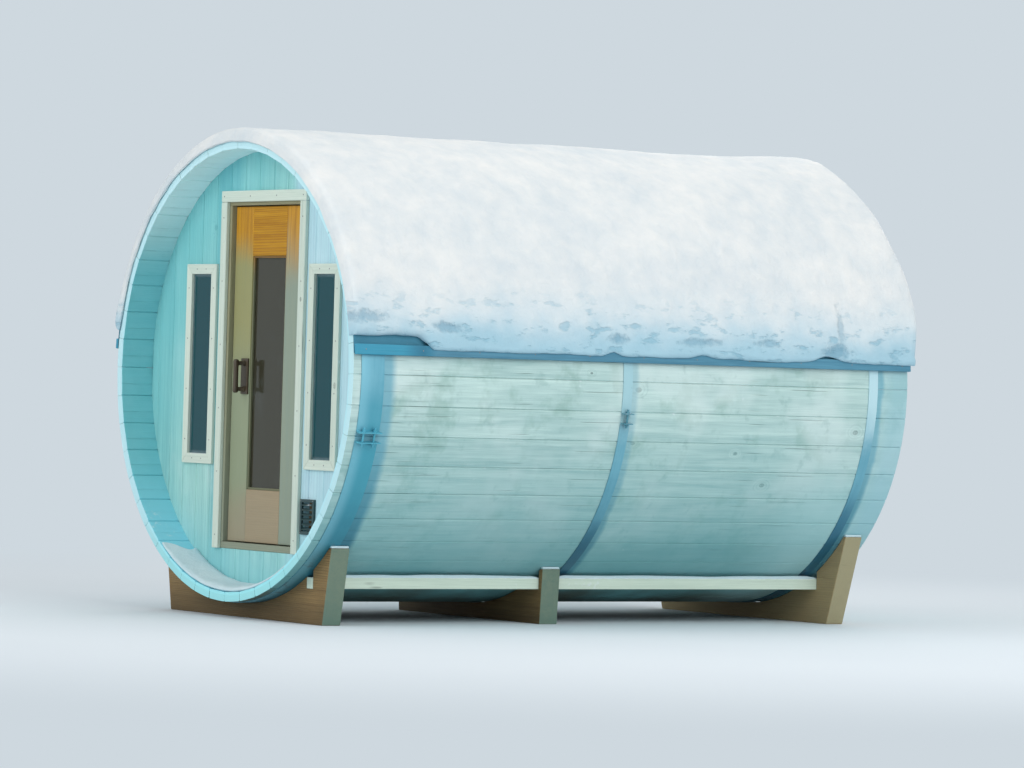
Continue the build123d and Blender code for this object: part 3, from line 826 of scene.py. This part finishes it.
def build_door_frame():
    """Jambs, head and threshold with the stops that the leaf closes towards, and the casing."""
    jamb_low, jamb_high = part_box("door_jamb_right")
    head_low, head_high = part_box("door_head")
    sill_low, sill_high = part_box("door_threshold")
    leaf_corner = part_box("door_stile_right")[1]
    stop_half = jamb_low.x
    jamb_face = leaf_corner.x + leaf_gap
    stop_y = leaf_corner.y + leaf_gap
    head_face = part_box("door_top_rail")[1].z + leaf_gap
    half = doorway_half - joint_gap
    y0, y1 = jamb_low.y, jamb_high.y
    piece = Piece("door_frame_timbers")
    for side in (-1, 1):
        for inner, outer, front in ((jamb_face, half, y0), (stop_half, jamb_face, stop_y)):
            piece.add(side_bar(side, inner, outer, front, y1, jamb_low.z, head_face), upright_deep)
    for reach, front, bottom, top in ((half, y0, head_face, head_high.z - joint_gap),
                                      (stop_half, stop_y, head_low.z, head_face),
                                      (half, y0, sill_low.z + joint_gap, sill_high.z)):
        piece.add(bar((-reach, front, bottom), (reach, y1, top)), level_deep)
    piece.close("frame_timber", "door_jamb_left", "door_jamb_right", "door_head", "door_threshold")

    low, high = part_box("door_casing")
    inner = high.x - casing_width
    under = high.z - casing_width
    casing = Piece("door_casing_boards")
    for side in (-1, 1):
        casing.add(side_bar(side, inner, high.x, low.y, high.y, low.z, under - joint_gap))
    casing.add(bar((low.x, low.y, under), high), level)
    casing.close("trim_timber", "door_casing")


def build_door():
    """The leaf's stiles and rails and the beads that hold its glass."""
    for part, grain in (("stile_left", upright), ("stile_right", upright),
                        ("top_rail", level), ("bottom_rail", level)):
        piece = Piece(f"leaf_{part}")
        piece.add(bar(*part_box(f"door_{part}")), grain)
        piece.close("door_timber", f"door_{part}", body="door")
    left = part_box("door_stile_left")[1]
    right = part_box("door_stile_right")[0]
    pane_low, pane_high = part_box("door_glass")
    beads = Piece("leaf_glazing_beads")
    opening = (left.x + glazing_bead, right.x - glazing_bead,
               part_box("door_bottom_rail")[1].z + glazing_bead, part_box("door_top_rail")[0].z - glazing_bead)
    mitred_frame(beads, opening, glazing_bead, right.y + glazing_setback, pane_low.y - glazing_gap)
    mitred_frame(beads, opening, glazing_bead, pane_high.y + glazing_gap, left.y - glazing_setback)
    beads.close("door_timber", body="door")


def build_handles():
    """A turned pull on two posts and a plate, outside and inside."""
    low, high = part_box("door_handles")
    leaf_low, leaf_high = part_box("door_stile_left")
    x = (low.x + high.x) / 2
    middle = (low.z + high.z) / 2
    swell = [(0.0, 0.40), (0.012, 0.74), (0.035, 0.93), (0.08, 1.0), (0.25, 0.92), (0.5, 0.88),
             (0.75, 0.92), (0.92, 1.0), (0.965, 0.93), (0.988, 0.74), (1.0, 0.40)]
    grip = [(share * handle_grip_length, radius * handle_grip_radius) for share, radius in swell]
    post_up = handle_grip_length / 2 - handle_post_inset
    piece = Piece("door_pulls")
    for face, outward, reach in ((leaf_low.y, -1, leaf_low.y - low.y),
                                 (leaf_high.y, 1, high.y - leaf_high.y)):
        y = face + outward * (reach - handle_grip_radius)
        plate_y = face + outward * handle_plate_thickness
        y0, y1 = sorted((face, plate_y))
        piece.add(bar((low.x, y0, low.z), (high.x, y1, high.z), 0.0025))
        piece.add(turned(grip, Vector((x, y, middle - handle_grip_length / 2)), Vector((0, 0, 1))))
        post = [(0.0, 0.0125), (0.004, 0.0125), (0.007, 0.0100), (abs(y - plate_y), 0.0090)]
        for up in (-post_up, post_up):
            start = Vector((x, plate_y, middle + up))
            piece.add(turned(post, start, Vector((0, outward, 0))), lengthwise)
    piece.close("handle_timber", "door_handles", body="door", smooth=True)


def build_hinge_screws():
    """Countersunk screws in the flaps on the leaf."""
    low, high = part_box("hinge_door_plates")
    flap_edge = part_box("door_stile_right")[1].x - hinge_flap_width
    step = (high.z - low.z - hinge_height) / 2
    profile = [(0.0, 0.0042), (0.0006, 0.0040), (0.0010, 0.0030)]
    piece = Piece("hinge_screws")
    for k in range(3):
        middle = low.z + hinge_height / 2 + k * step
        for up in (-0.032, 0.0, 0.032):
            for inset in (0.010, 0.026):
                start = Vector((flap_edge + inset, low.y + hinge_flap_depth, middle + up))
                piece.add(turned(profile, start, Vector((0, -1, 0)), 12))
    piece.close("hinge_steel", body="door", smooth=True)


def build_nails():
    """Domed nail heads in the casing, the window boards, the vent and the roof's edge boards."""
    piece = Piece("nail_heads")
    profile = [(0.0, 0.0032), (0.0007, 0.0030), (0.0013, 0.0017)]

    def drive_rows(xs, zs, y):
        for x in xs:
            for z in zs:
                piece.add(turned(profile, Vector((x, y, z)), Vector((0, -1, 0)), 10))

    low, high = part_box("door_casing")
    side_x = high.x - casing_width / 2
    zs = [low.z + 0.06 + k * (high.z - low.z - 0.18) / 5 for k in range(6)]
    drive_rows((-side_x, side_x), zs, low.y)
    drive_rows([side_x * k / 3 for k in (-3, -1, 1, 3)], [high.z - casing_width / 2], low.y)
    board_x = (window_width + trim_width) / 2
    board_z = (window_height + trim_width) / 2
    for centre in (-window_centre_x, window_centre_x):
        zs = [window_centre_z + board_z * k / 3 for k in (-2.4, -0.8, 0.8, 2.4)]
        drive_rows((centre - board_x, centre + board_x), zs, trim_low.y)
        zs = (window_centre_z - board_z, window_centre_z + board_z)
        drive_rows((centre - 0.04, centre + 0.04), zs, trim_low.y)
    inset = vent_border / 2
    zs = (vent_low.z + inset, vent_high.z - inset)
    drive_rows((vent_low.x + inset, vent_high.x - inset), zs, vent_low.y)
    board_face = covering_radius + (batten_thickness - nail_seat)
    for board_angle in (5.9, 174.1):
        outward = around(1, board_angle, 0) - around(0, board_angle, 0)
        for k in range(11):
            y = front_rim + 0.05 + k * (rear_rim - front_rim - 0.10) / 10
            piece.add(turned(profile, around(board_face, board_angle, y), outward, 10))
    piece.close("hinge_steel", smooth=True)


def saddle(x):
    """How high the hollow of a cradle is at x."""
    return axis_z - math.sqrt(saddle_radius ** 2 - x ** 2)


def cradle_tip(node):
    """Where a cradle's end is at its top, as x and z; the rear one reaches up behind the hoop."""
    half_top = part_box(node)[1].x + cradle_horns[node]
    return half_top, saddle(half_top - cradle_shoulder)


def cradle_outline(node):
    """A cross timber hollowed to the barrel and notched for the rails, as x and z points."""
    low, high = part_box(node)
    half_top, top = cradle_tip(node)
    rail_low, rail_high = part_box("rail_right")

    def curve(x0, x1, steps):
        xs = [x0 + (x1 - x0) * k / steps for k in range(steps + 1)]
        return [(x, saddle(x)) for x in xs]

    right = [(high.x - cradle_slants[node], low.z), (half_top, top)]
    right += curve(half_top - cradle_shoulder, rail_high.x, 5)
    right += [(rail_high.x, rail_low.z), (rail_low.x, rail_low.z)]
    return right + curve(rail_low.x, -rail_low.x, 24) + [(-x, z) for x, z in reversed(right)]


def build_base():
    """The cradles and the two rails that tie them."""
    for node in cradle_slants:
        low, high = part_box(node)
        piece = Piece(f"{node}_timber")
        piece.add(slab(cradle_outline(node), low.y, high.y, 0.004), level)
        piece.close("cradle_timber", node)
    for node in ("rail_left", "rail_right"):
        piece = Piece(f"{node}_timber")
        piece.add(bar(*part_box(node)), lengthwise)
        piece.close("rail_timber", node)


def build_floor():
    """Boards along the cabin, with gaps, on joists cut to the round of the staves."""
    low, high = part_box("floor_deck")
    frame_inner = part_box("door_threshold")[1].y
    piece = Piece("floor_boards")
    for x0, x1, count, start in ((-doorway_half, doorway_half, floor_boards_in_doorway, frame_inner),
                                 (low.x, -doorway_half, floor_boards_beside, low.y),
                                 (doorway_half, high.x, floor_boards_beside, low.y)):
        width = (x1 - x0) / count
        for k in range(count):
            left = x0 + k * width + floor_board_gap / 2
            right = x0 + (k + 1) * width - floor_board_gap / 2
            near = (left, start + floor_end_gap, low.z)
            far = (right, high.y - floor_end_gap, high.z)
            piece.add(bar(near, far), lengthwise)
    piece.close("floor_timber", "floor_deck")

    def reach(z):
        return math.sqrt(inner_apothem ** 2 - (axis_z - z) ** 2) - joist_gap

    low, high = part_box("floor_bearers")
    step = (high.y - low.y - joist_thickness) / 2
    levels = [low.z + (high.z - low.z) * k / 6 for k in range(7)]
    outline = [(reach(z), z) for z in levels] + [(-reach(z), z) for z in reversed(levels)]
    joists = Piece("floor_joists")
    for k in range(3):
        y0 = low.y + k * step
        joists.add(slab(outline, y0, y0 + joist_thickness), level)
    joists.close("floor_timber", "floor_bearers")


def spread(k, count):
    """Shares from 0 to 1 that crowd towards both ends."""
    return 0.12 * k / count + 0.88 * (1 - math.cos(math.pi * k / count)) / 2


def lip(share):
    """How high a rounded lip is at a share of its width."""
    share = min(max(share, 0.0), 1.0)
    return math.sqrt(1 - (1 - share) ** 2)


def bent_sheet(columns, rows, edges, ends, base, depth, outward=1, nose=0.30):
    """A sheet over the barrel with a rounded lip all round.

    edges(y) gives its first and last angle, ends(angle) its first and last y, base(angle, y) the
    radius that it lies on and depth(angle, y) its thickness. outward is -1 inside the barrel, and
    nose is how high the lip's edge is, as a share of the thickness."""
    form = bmesh.new()
    rings = []
    crest0, crest1 = ends(90.0)
    for j in range(rows + 1):
        first, last = edges(crest0 + (crest1 - crest0) * spread(j, rows))
        rings.append([])
        for i in range(columns + 1):
            angle = first + (last - first) * spread(i, columns)
            y0, y1 = ends(angle)
            y = y0 + (y1 - y0) * spread(j, rows)
            radius = base(angle, y)
            thickness = depth(angle, y)
            width = min(thickness * 1.1, snow_lip_width)
            side_gap = min(angle - first, last - angle) * math.pi / 180 * radius
            full = lip(side_gap / width) * lip(min(y - y0, y1 - y) / width)
            top = radius + outward * thickness * (nose + (1 - nose) * full)
            pair = [form.verts.new(around(top, angle, y))] * 2
            if i not in (0, columns) and j not in (0, rows):
                bottom = radius + outward * thickness * nose * (1 - full)
                pair[1] = form.verts.new(around(bottom, angle, y))
            rings[-1].append(pair)
    for layer in range(2):
        for row, after in zip(rings, rings[1:]):
            for k in range(columns):
                corners = (row[k], row[k + 1], after[k + 1], after[k])
                form.faces.new([pair[layer] for pair in corners])
    bmesh.ops.recalc_face_normals(form, faces=form.faces)
    return form


def wave(seed, first, second=0.0):
    """A smooth random number from -1 to 1 for a place."""
    return noise.noise(Vector((first + seed, second, seed * 1.7)))


def smooth(value, start, end):
    """0 before start and 1 after end, smooth between."""
    share = min(max((value - start) / (end - start), 0.0), 1.0)
    return share * share * (3 - 2 * share)


def snow_edge(y, seed):
    """The angle where the snow ends above the eaves: ragged, and bare by both rims."""
    ragged = 0.42 * wave(seed, y * 3.1) + 0.26 * wave(seed + 5, y * 9.7) + 0.12 * wave(seed + 9, y * 31)
    front_bare = 1 - smooth(y + 0.02 * wave(seed + 2, y * 14), front_rim + 0.33, front_rim + 0.40)
    notch = 0.0
    for depth, from_rim, half_length in ((1.0, 1.36, 0.035), (0.7, 1.86, 0.05), (1.5, 2.57, 0.07)):
        notch += depth * math.exp(-((y - front_rim - from_rim) / half_length) ** 2)
    return 6.15 + 0.7 * ragged + 3.2 * front_bare + notch


def snow_edges(y):
    return (snow_edge(y, 3.1), 180 - snow_edge(y, 27.4))


def snow_ends(angle):
    """The snow is flush with the front rim and hangs over the rear rim as a small cornice."""
    high = max(math.sin(math.radians(angle)), 0.0)
    cornice = 0.016 + 0.046 * smooth(high, 0.05, 0.35) - 0.016 * smooth(high, 0.35, 0.7)
    cornice += 0.034 * smooth(high, 0.88, 0.99)
    cornice *= 1 + 0.20 * wave(8.0, angle / 9)
    front = snow_overhang * (0.9 + 0.25 * wave(4.0, angle / 7))
    return (front_rim - front, rear_rim + cornice)


def snow_base(angle, y):
    """Snow lies on the covering and the edge board, and laps over the ends of the staves."""
    low = min(angle, 180 - angle)
    over_board = 1 - smooth(low, batten_top_angle, batten_top_angle + 1.2)
    beyond_rim = 1 - smooth(y, front_rim - 0.004, front_rim - 0.001)
    reach = 0.017 + 0.005 * wave(16.0, angle / 6)
    lap = (covering_radius - barrel_radius + reach) * beyond_rim * (1 - over_board)
    return covering_radius + 0.0005 + (batten_outer - covering_radius) * over_board - lap


def snow_depth(angle, y):
    """Drifts, lumps and slumps on an even depth, less where the crust has broken."""
    high = math.sin(math.radians(angle))
    outer = snow_flank_radius + (snow_crest_radius - snow_flank_radius) * high
    arc = angle * math.pi / 180
    drift = 0.006 * wave(1.0, arc * 1.7, y * 1.3) + 0.004 * wave(2.0, arc * 6, y * 5)
    lump = 0.0016 * wave(6.0, arc * 24, y * 22)
    low = 1 - smooth(high, 0.15, 0.45)
    slump = low * (0.005 * wave(7.0, arc * 9, y * 7) + 0.003 * wave(9.0, arc * 26, y * 14))
    left_bulge = 0.020 * math.exp(-((angle - 168) / 9) ** 2)
    left_bulge *= 1 - smooth(y, front_rim + 0.1, front_rim + 0.9)
    rear_crest = 0.014 * smooth(high, 0.9, 1.0) * smooth(y, rear_rim - 0.5, rear_rim)
    outer += drift + lump + slump + left_bulge + rear_crest
    if angle < 60:
        up = outer * high - (snow_low.z - axis_z)
        for from_rim, height, half_length, half_height, strength in snow_scars:
            away = ((y - front_rim - from_rim) / half_length) ** 2 + ((up - height) / half_height) ** 2
            outer -= 0.010 * strength * math.exp(-away)
    return max(outer - snow_base(angle, y), 0.012)


def rail_strip(side, y0, y1):
    """A ridge of snow on the outer part of a rail, uneven along it."""
    low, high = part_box("rail_right")
    inner_x = (low.x + high.x) / 2 + 0.002
    outer_x = high.x - 0.002
    steps = 90
    turns = [math.pi * i / 8 for i in range(9)]
    rings = []
    for k in range(steps + 1):
        y = y0 + (y1 - y0) * k / steps
        tip = min(k, steps - k) / 3
        height = (0.011 + 0.004 * wave(21.0 + side, y * 6)) * min(1.0, 0.4 + tip * 0.6)
        inner = inner_x + 0.003 * wave(22.0 + side, y * 8)
        half = (outer_x - inner) / 2
        rings.append([(side * (inner + half - half * math.cos(turn)), y,
                       high.z + height * math.sin(turn) ** 0.7) for turn in turns])
    return loft(rings)


def recess_edges(y):
    return (234 + 5 * wave(12.0, y * 9), 304 + 5 * wave(13.0, y * 9))


def recess_ends(angle):
    return (front_rim + 0.006 + 0.006 * wave(14.0, angle / 5), front_wall[0] + 0.003)


def recess_base(angle, y):
    return inner_apothem + 0.0012


def recess_depth(angle, y):
    middle = math.exp(-((angle - 268) / 26) ** 2)
    back = smooth(y, front_rim, front_wall[0])
    return 0.006 + 0.020 * middle + 0.014 * back + 0.004 * wave(15.0, angle / 4, y * 12)


def build_snow():
    """The snow on the roof, in the front recess, on the cradles' ends and on the rails."""
    roof = Piece("snow_on_roof")
    roof.add(bent_sheet(220, 190, snow_edges, snow_ends, snow_base, snow_depth, nose=0.14))
    roof.close("snow", "roof_snow", smooth=True)

    recess = Piece("recess_snow")
    recess.add(bent_sheet(90, 20, recess_edges, recess_ends, recess_base, recess_depth, -1))
    recess.close("snow", smooth=True)

    caps = Piece("cradle_snow")
    for node in cradle_slants:
        low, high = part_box(node)
        half_top, top = cradle_tip(node)
        for side in (-1, 1):
            caps.add(side_bar(side, half_top - cradle_shoulder, half_top - 0.001,
                              low.y + 0.002, high.y - 0.002, top, top + 0.011, 0.0052))
    caps.close("snow", smooth=True)

    strips = Piece("rail_snow")
    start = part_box("cradle_front")[1].y
    middle_low, middle_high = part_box("cradle_middle")
    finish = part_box("cradle_rear")[0].y
    for side in (-1, 1):
        for y0, y1 in ((start, middle_low.y), (middle_high.y, finish)):
            strips.add(rail_strip(side, y0 + 0.001, y1 - 0.001))
    strips.close("snow", smooth=True)


def felt_sheet(y0, y1, lapped):
    """One width of felt, which rises at both ends over its neighbours if it is lapped."""
    steps = 96
    angles = [roof_edge_angle + (180 - 2 * roof_edge_angle) * i / steps for i in range(steps + 1)]
    rings = []
    for y in [y0 + (y1 - y0) * i / 24 for i in range(25)]:
        over = 1 - smooth(min(y - y0, y1 - y), felt_lap, felt_lap + 0.03) if lapped else 0.0
        under = saddle_radius + over * (felt_thickness + 0.0002)
        outside = [around(under + felt_thickness, angle, y) for angle in angles]
        rings.append(outside + [around(under, angle, y) for angle in reversed(angles)])
    return loft(rings)


def build_roof():
    """Three widths of roofing felt with lapped edges, and the edge boards that hold them down."""
    length = rear_rim - front_rim
    bounds = [front_rim, front_rim + length / 3, rear_rim - length / 3, rear_rim]
    felt = Piece("roof_felt_sheets")
    for k in range(3):
        y0 = bounds[k] - (felt_lap / 2 if k > 0 else 0)
        y1 = bounds[k + 1] + (felt_lap / 2 if k < 2 else 0)
        felt.add(felt_sheet(y0, y1, k == 1))
    felt.close("roof_felt", "roof_covering", smooth=True)

    angle = roof_edge_angle + math.degrees((batten_height / 2 - 0.006) / covering_radius)
    half = batten_height / 2
    boards = Piece("roof_edge_boards")
    for turn in (180 - angle, angle):
        centre = around(covering_radius, turn, 0)
        radial = around(1, turn, 0) - around(0, turn, 0)
        tangent = Vector((-radial.z, 0, radial.x))
        corners = [(0, -half), (batten_thickness, -half), (batten_thickness, half), (0, half)]
        section = [centre + radial * r + tangent * t for r, t in corners]
        rings = [[point + Vector((0, y, 0)) for point in section] for y in (front_rim, rear_rim)]
        boards.add(ease(loft(rings), fine_ease), ((0, 1, 0), tangent))
    boards.close("roof_batten", "roof_edge_battens")


def paint_nodes(slot, *nodes):
    """Gives nodes of the frame their finish."""
    for node in nodes:
        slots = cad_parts[node].data.materials
        slots.clear()
        slots.append(finishes[slot])


def build_stage():
    """A wide pale floor that melts into a plain pale sky away from the object."""
    size = 120.0
    mesh = bpy.data.meshes.new("floor")
    corners = [(-size, -size, 0), (size, -size, 0), (size, size, 0), (-size, size, 0)]
    mesh.from_pydata(corners, [], [(0, 1, 2, 3)])
    floor = bpy.data.objects.new("floor", mesh)
    bpy.context.scene.collection.objects.link(floor)
    s = Surface("floor")
    cloud = s.cloud(0.8, 3.0)
    s.colour = s.mix(cloud, (214, 222, 228), (218, 226, 231))
    s.roughness = 0.9 + cloud * 0.05
    s.height = s.cloud(60.0, 3.0)
    s.set("Specular IOR Level", 0.1)
    mesh.materials.append(s.close(0.1, 0.002))
    backdrop = {"Color": colour(*BACKDROP), "Strength": 1.0}
    plain = s.node("Emission", backdrop)
    share = s.fade(s.length(s.x, s.y), 2.4, 7.5) * s.seen()
    both = s.node("MixShader", {0: share, 1: s.shader.outputs[0], 2: plain.outputs[0]})
    s.put(s.tree.nodes["Material Output"].inputs["Surface"], both.outputs[0])

    world = bpy.data.worlds.new("sky")
    world.use_nodes = True
    sky = Graph(world.node_tree)
    ambient = world.node_tree.nodes["Background"]
    ambient.inputs["Color"].default_value = (0.98, 0.99, 1.0, 1)
    ambient.inputs["Strength"].default_value = 0.52
    plain = sky.node("Background", backdrop)
    both = sky.node("MixShader", {0: sky.seen(), 1: ambient.outputs[0], 2: plain.outputs[0]})
    sky.put(world.node_tree.nodes["World Output"].inputs["Surface"], both.outputs[0])
    bpy.context.scene.world = world


def build_lamp(name, place, size, power):
    """A large soft lamp that points at the middle of the barrel."""
    lamp = bpy.data.lights.new(name, "AREA")
    lamp.shape = "RECTANGLE"
    lamp.size = size
    lamp.size_y = size
    lamp.energy = power
    holder = bpy.data.objects.new(name, lamp)
    holder.location = place
    direction = Vector((0, 0, axis_z)) - Vector(place)
    holder.rotation_euler = direction.to_track_quat("-Z", "Y").to_euler()
    bpy.context.scene.collection.objects.link(holder)


def build_camera():
    """A long lens at the height of the barrel's axis, as far off as in the photograph."""
    azimuth = math.radians(56.2)
    distance = 23.0
    height = 0.03
    roll = math.radians(1.7)
    target = Vector((0.0, 0.0, 1.07))
    camera = bpy.data.cameras.new("camera")
    camera.lens = 176
    camera.clip_end = 500
    holder = bpy.data.objects.new("camera", camera)
    away = Vector((math.sin(azimuth), -math.cos(azimuth), 0))
    holder.location = target + away * distance + Vector((0, 0, height))
    look = (target - holder.location).to_track_quat("-Z", "Y").to_matrix()
    holder.rotation_euler = (look @ Matrix.Rotation(roll, 3, "Z")).to_euler()
    bpy.context.scene.collection.objects.link(holder)
    bpy.context.scene.camera = holder


pane_low, pane_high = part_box("door_glass")
greyed = ((136, 146, 130), 1.05, 0.40, 0.44)

# Finishes by the record's slot, and by the piece for parts of the leaf that weather in their own way
finishes = {
    "stave_timber": stave_timber(),
    "wall_timber": wall_timber(),
    "trim_timber": plain_timber(
        "trim_timber", (214, 224, 211), (186, 201, 189), frost=(0.38, 0.25), rings=0.2, streaks=0.6,
        knots=0.15),
    "frame_timber": plain_timber(
        "frame_timber", (170, 168, 136), (122, 118, 88), [((134, 146, 132), 1.5, 0.3, 0.7)]),
    "rail_timber": plain_timber("rail_timber", (212, 228, 212), (176, 196, 180), frost=(0.40, 0.45)),
    "floor_timber": plain_timber("floor_timber", (196, 166, 122), (146, 112, 74), roughness=0.7),
    "handle_timber": plain_timber(
        "handle_timber", (84, 70, 48), (44, 36, 26), rings=0.3, streaks=0.7, knots=0.1, roughness=0.45),
    "leaf_stile_left": leaf_timber(
        "left", (204, 150, 38), (150, 98, 18), ((142, 149, 108), 1.74, 1.50, 0.88),
        ((137, 154, 136), 1.30, 0.90, 0.62), ((158, 140, 120), 0.60, 0.38, 0.60)),
    "leaf_stile_right": leaf_timber(
        "right", (204, 150, 44), (150, 98, 24), ((132, 156, 146), 1.82, 1.46, 0.88), greyed),
    "leaf_top_rail": leaf_timber(
        "top", (206, 154, 26), (158, 104, 12), ((176, 132, 60), 1.68, 1.44, 0.2)),
    "leaf_bottom_rail": leaf_timber(
        "foot", (198, 158, 120), (152, 116, 82), ((168, 142, 108), 1.68, 1.44, 0.6), greyed),
    "leaf_glazing_beads": leaf_timber(
        "bead", (170, 122, 44), (116, 80, 28), ((104, 112, 90), 1.68, 1.44, 0.9)),
    "cradle_timber": cradle_timber(),
    "roof_batten": batten_timber(),
    "roof_felt": roof_felt(),
    "snow": snow(),
    "hoop_steel": hoop_steel(),
    "hinge_steel": bright_steel(),
    "vent_plastic": dark_plastic(),
    "window_pane": tinted_glass("window_pane", (2, 94, 104), 0.06, 0.15, window_rectangle(1), pair=True),
    "door_pane": tinted_glass("door_pane", (84, 82, 66), 0.30, 0.25,
                              (pane_low.x, pane_high.x, pane_low.z, pane_high.z)),
}

build_staves()
build_wall("front_wall_boards", front_wall, front_holes(), "front_wall_left", "front_wall_right",
           "front_wall_over_door", "front_wall_below_door")
build_wall("rear_wall_boards", rear_wall, [], "rear_wall")
build_windows()
build_vent()
build_door_frame()
build_door()
build_handles()
build_hinge_screws()
build_nails()
build_base()
build_floor()
build_roof()
build_snow()
paint_nodes("window_pane", "window_glass")
paint_nodes("door_pane", "door_glass")
paint_nodes("hinge_steel", "hinge_frame_plates", "hinge_door_plates")
paint_nodes("hoop_steel", "hoop_front", "hoop_middle", "hoop_rear")

build_stage()
build_lamp("side_lamp", (9.5, 0.5, 6.0), 7.0, 480)
build_lamp("front_lamp", (0.3, -10.0, 4.8), 7.0, 410)
build_lamp("sky_lamp", (0.5, 0.5, 9.5), 10.0, 190)
build_lamp("rear_lamp", (-5.5, 8.0, 6.0), 7.0, 280)
build_camera()

bpy.context.scene.view_settings.view_transform = "Standard"
